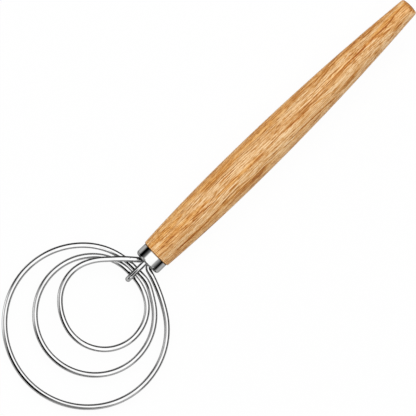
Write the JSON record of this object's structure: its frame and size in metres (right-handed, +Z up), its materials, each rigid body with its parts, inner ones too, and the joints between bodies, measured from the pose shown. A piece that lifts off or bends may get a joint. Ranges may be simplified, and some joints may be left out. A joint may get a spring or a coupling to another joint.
{
  "type": "dough whisk",
  "caption": "Dough whisk: a turned wooden handle and steel ferrule carry one stiff wire bent into nested flat loops, tied at the neck by a wire hook.",
  "frame": {"origin": "on the handle's axis at its thickest place, where the hand closes", "axes": "+X along the handle towards the wire loops, +Y across the loops, +Z up, square to the loops"},
  "size_m": [0.305, 0.0962, 0.0226],
  "materials": {
    "oak_wood": "satin",
    "ferrule_steel": "polished",
    "wire_steel": "polished",
    "adhesive": "gloss"
  },
  "bodies": {
    "root": {"handle": "oak_wood", "ferrule": "ferrule_steel", "whisk_wire": "wire_steel", "hook_wire": "wire_steel", "bond_plug": "adhesive"}
  },
  "joints": []
}
